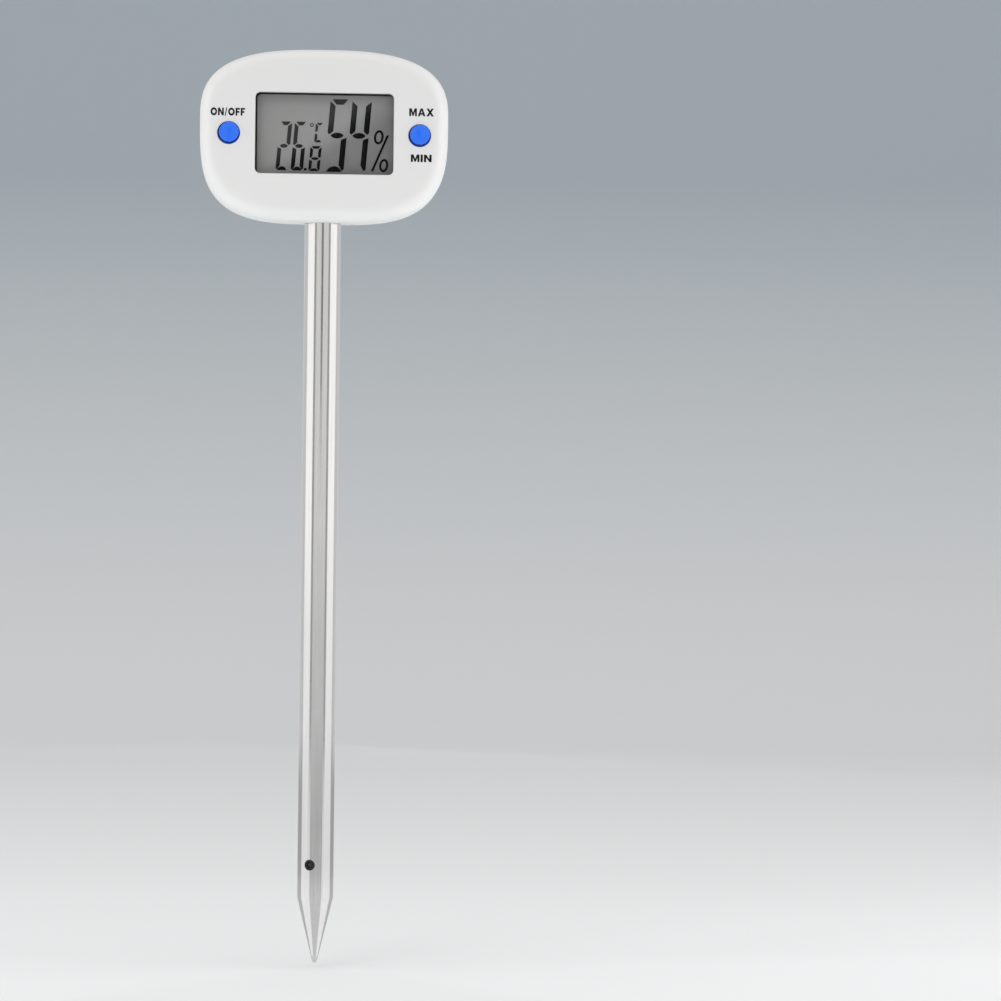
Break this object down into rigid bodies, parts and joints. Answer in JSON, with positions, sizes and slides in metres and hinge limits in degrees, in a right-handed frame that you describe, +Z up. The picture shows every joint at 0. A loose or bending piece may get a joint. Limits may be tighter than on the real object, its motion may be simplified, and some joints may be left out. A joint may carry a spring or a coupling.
{
  "type": "soil moisture meter",
  "caption": "Handheld digital soil meter: rounded white two-shell head with a display window and blue push buttons, on a long pointed steel probe tube.",
  "frame": {"origin": "the probe's tip", "axes": "+Z up the probe to the head, -Y is the side the display faces, +X to the right seen from the display's side"},
  "size_m": [0.0618, 0.0201, 0.2275],
  "materials": {
    "white_plastic": "white moulded ABS, polished",
    "clear_plastic": "clear polished acrylic",
    "black_plastic": "black moulded plastic, satin",
    "display_grey": "grey-green polarizing film",
    "display_glass": "thin display glass",
    "silver_film": "satin silver film",
    "zebra_rubber": "layered conductive rubber",
    "board_green": "green solder mask",
    "blue_plastic": "blue moulded plastic, satin",
    "nickel_steel": "nickel plated",
    "ceramic_tan": "fired ceramic",
    "probe_steel": "polished stainless steel",
    "ferrule_nylon": "natural nylon",
    "seal_rubber": "black nitrile rubber",
    "graphite": "carbon-filled electrode, matt",
    "white_insulation": "white wire insulation",
    "red_insulation": "red wire insulation"
  },
  "bodies": {
    "head": {"front_case": "white_plastic", "rear_case": "white_plastic", "display_window": "clear_plastic", "display_frame": "black_plastic", "controller_drop": "black_plastic", "on_off_switch": "black_plastic", "max_min_switch": "black_plastic", "unit_switch": "black_plastic", "sensor_insulator": "black_plastic", "temperature_bead": "black_plastic", "sensing_resistor": "black_plastic", "lcd_polarizer": "display_grey", "lcd_front_glass": "display_glass", "lcd_rear_glass": "display_glass", "lcd_reflector": "silver_film", "lcd_zebra_strip": "zebra_rubber", "circuit_board": "board_green", "case_screw_1": "nickel_steel", "case_screw_2": "nickel_steel", "case_screw_3": "nickel_steel", "case_screw_4": "nickel_steel", "board_screw_1": "nickel_steel", "board_screw_2": "nickel_steel", "clock_crystal": "nickel_steel", "battery_cell": "nickel_steel", "battery_negative_contact": "nickel_steel", "battery_positive_contact": "nickel_steel", "filter_capacitor_1": "ceramic_tan", "filter_capacitor_2": "ceramic_tan", "probe_tube": "probe_steel", "probe_cross_pin": "probe_steel", "probe_ferrule": "ferrule_nylon", "probe_seal": "seal_rubber", "sensor_electrode": "graphite", "temperature_wire_left": "white_insulation", "temperature_wire_right": "white_insulation", "electrode_wire": "red_insulation"},
    "on_off_button": {"on_off_button": "blue_plastic", "on_off_plunger": "nickel_steel"},
    "max_min_button": {"max_min_button": "blue_plastic", "max_min_plunger": "nickel_steel"},
    "unit_button": {"unit_button": "blue_plastic", "unit_plunger": "nickel_steel"},
    "battery_seal": {"battery_cover_seal": "seal_rubber"},
    "battery_cover": {"battery_cover": "white_plastic"}
  },
  "joints": [
    {"name": "on_off_press", "type": "slide", "parent": "head", "child": "on_off_button", "axis": [0, 1, 0], "range_m": [0, 0.0005], "stiffness_N_per_m": 1500, "springref_m": -0.0004},
    {"name": "max_min_press", "type": "slide", "parent": "head", "child": "max_min_button", "axis": [0, 1, 0], "range_m": [0, 0.0005], "stiffness_N_per_m": 1500, "springref_m": -0.0004},
    {"name": "unit_press", "type": "slide", "parent": "head", "child": "unit_button", "axis": [0, -1, 0], "range_m": [0, 0.0005], "stiffness_N_per_m": 1500, "springref_m": -0.0004},
    {"name": "battery_seal_lift", "type": "slide", "parent": "head", "child": "battery_seal", "axis": [0, 1, 0], "range_m": [0, 0.0055]},
    {"name": "battery_cover_turn", "type": "hinge", "parent": "battery_seal", "child": "battery_cover", "pos_m": [0, 0.009, 0.2095], "axis": [0, 1, 0], "range_deg": [0, 160]}
  ],
  "couplings": [
    {"joint": "battery_cover_turn", "follows": "battery_seal_lift", "rad_per_m": 506.71}
  ]
}
